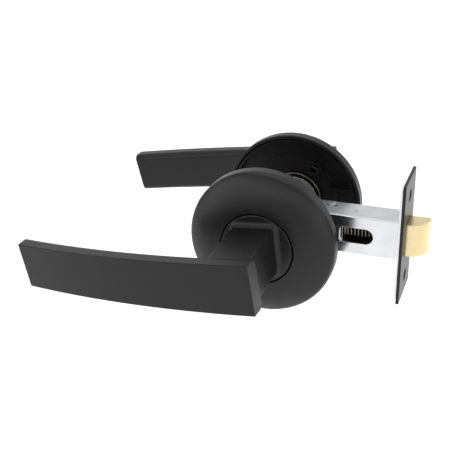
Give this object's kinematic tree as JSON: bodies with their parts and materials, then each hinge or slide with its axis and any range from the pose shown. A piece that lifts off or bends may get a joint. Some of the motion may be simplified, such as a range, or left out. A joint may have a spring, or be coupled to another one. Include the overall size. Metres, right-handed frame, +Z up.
{
  "type": "lever-handle latch set",
  "caption": "Two sprung levers on round roses turn a square spindle that draws back the bolt of a tubular latch between them.",
  "frame": {"origin": "on the spindle's axis, in the middle of the door's thickness", "axes": "+X along the latch to the door's edge, +Y through the door from the outside lever to the inside one, +Z up"},
  "size_m": [0.173, 0.1434, 0.0676],
  "materials": {
    "black_metal": "matte black powder coat",
    "black_plate": "black moulded nylon",
    "zinc_steel": "bright zinc plate",
    "spring_steel": "drawn spring wire",
    "nylon": "natural nylon",
    "brass": "satin brass",
    "screw_steel": "black oxide"
  },
  "bodies": {
    "latch_and_roses": {"outside_rose_cover": "black_metal", "outside_base_plate": "black_plate", "outside_bush": "nylon", "outside_return_spring": "spring_steel", "outside_follower_bush": "nylon", "inside_rose_cover": "black_metal", "inside_base_plate": "black_plate", "inside_bush": "nylon", "inside_return_spring": "spring_steel", "inside_follower_bush": "nylon", "latch_case": "zinc_steel", "latch_flange": "zinc_steel", "face_plate": "black_metal", "spring_seat": "zinc_steel", "bolt_spring": "spring_steel"},
    "handle_set": {"outside_lever": "black_metal", "outside_drive_plate": "zinc_steel", "outside_circlip": "spring_steel", "outside_grub_screw": "screw_steel", "inside_lever": "black_metal", "inside_drive_plate": "zinc_steel", "inside_circlip": "spring_steel", "inside_grub_screw": "screw_steel", "spindle": "zinc_steel", "follower": "zinc_steel"},
    "bolt": {"latch_bolt": "brass", "pull_rod": "zinc_steel", "retractor": "zinc_steel"}
  },
  "joints": [
    {"name": "lever_turn", "type": "hinge", "parent": "latch_and_roses", "child": "handle_set", "pos_m": [0, 0, 0], "axis": [0, -1, 0], "range_deg": [0, 40], "stiffness_Nm_per_rad": 1, "springref_deg": -28.65},
    {"name": "bolt_slide", "type": "slide", "parent": "latch_and_roses", "child": "bolt", "axis": [-1, 0, 0], "range_m": [0, 0.009], "deforming": ["bolt_spring"]}
  ],
  "couplings": [
    {"joint": "bolt_slide", "follows": "lever_turn", "m_per_rad": 0.01289}
  ]
}
